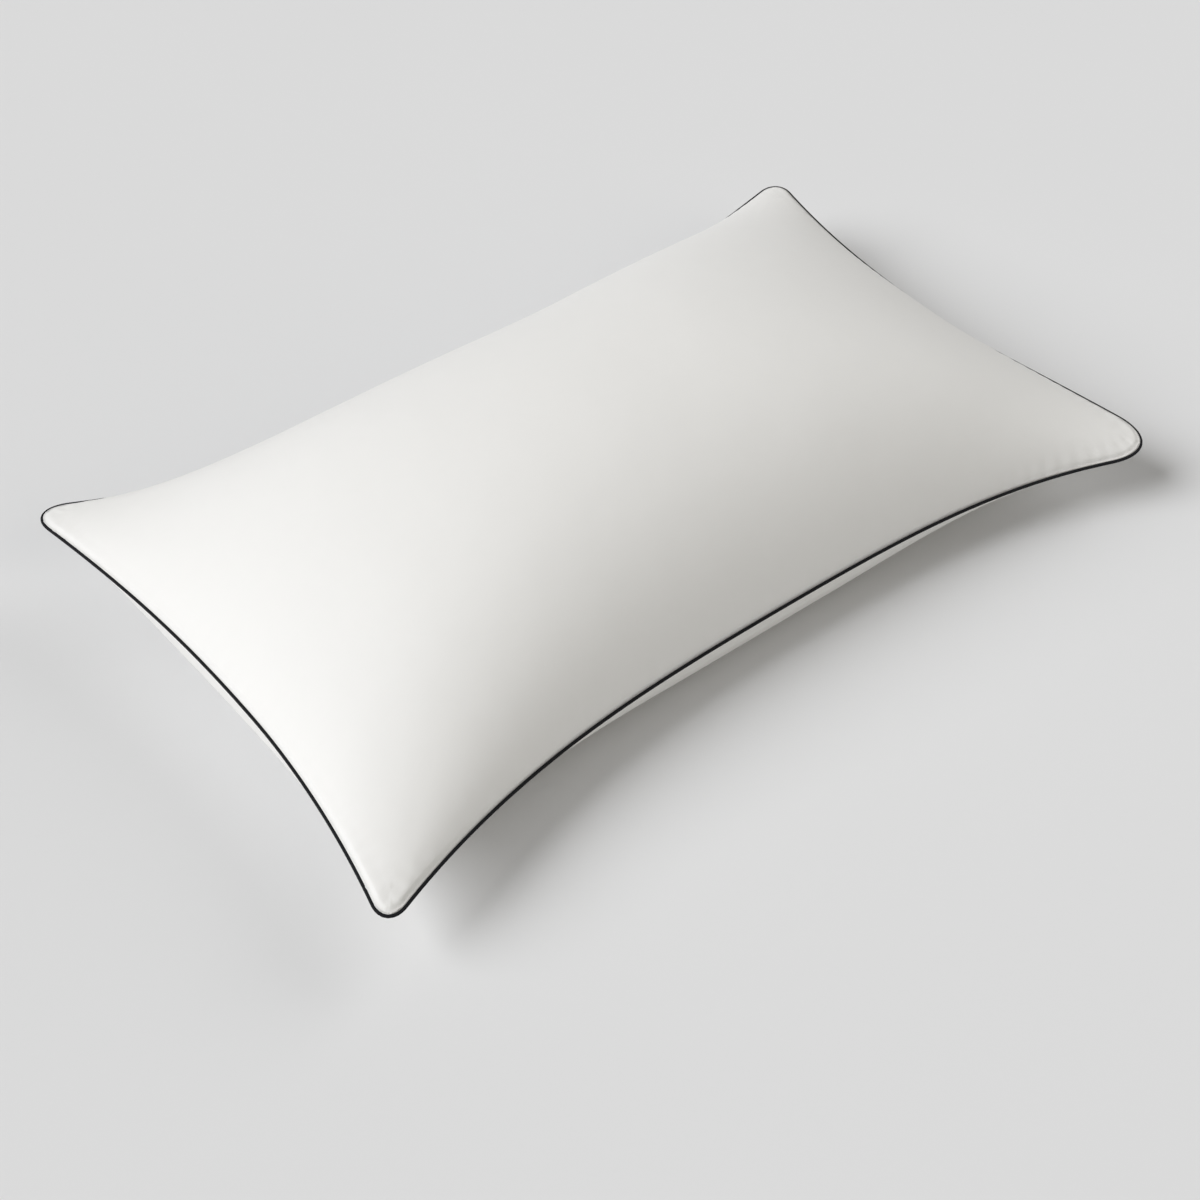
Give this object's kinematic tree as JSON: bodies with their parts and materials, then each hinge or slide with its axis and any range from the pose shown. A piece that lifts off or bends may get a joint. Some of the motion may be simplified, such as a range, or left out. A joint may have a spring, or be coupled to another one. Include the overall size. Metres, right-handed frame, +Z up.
{
  "type": "bed pillow",
  "caption": "Rectangular bed pillow: smooth woven shell over a soft fill, with dark round piping sewn into the edge seam and a flattened underside that rests on a bed.",
  "frame": {"origin": "on the surface the pillow lies on, under the middle of its bounding box and inside its flat resting patch", "axes": "+X along the pillow's long sides, +Y across it towards the long side with the care label, +Z up"},
  "size_m": [0.7122, 0.4388, 0.1601],
  "materials": {
    "shell_cotton": "smooth closely woven white cotton with a soft sheen",
    "piping_cotton": "matt black bias-cut cotton",
    "cord_cotton": "undyed twisted cotton cord",
    "thread_white": "white polyester sewing thread",
    "fibre_white": "loose white filling",
    "label_white": "blank white satin tape"
  },
  "bodies": {
    "root": {"shell_top_panel": "shell_cotton", "shell_bottom_panel": "shell_cotton", "piping_cover": "piping_cotton", "piping_cord": "cord_cotton", "seam_needle_thread": "thread_white", "seam_bobbin_thread": "thread_white", "overlock_thread": "thread_white", "closing_thread": "thread_white", "care_label": "label_white", "fill": "fibre_white"}
  },
  "joints": []
}
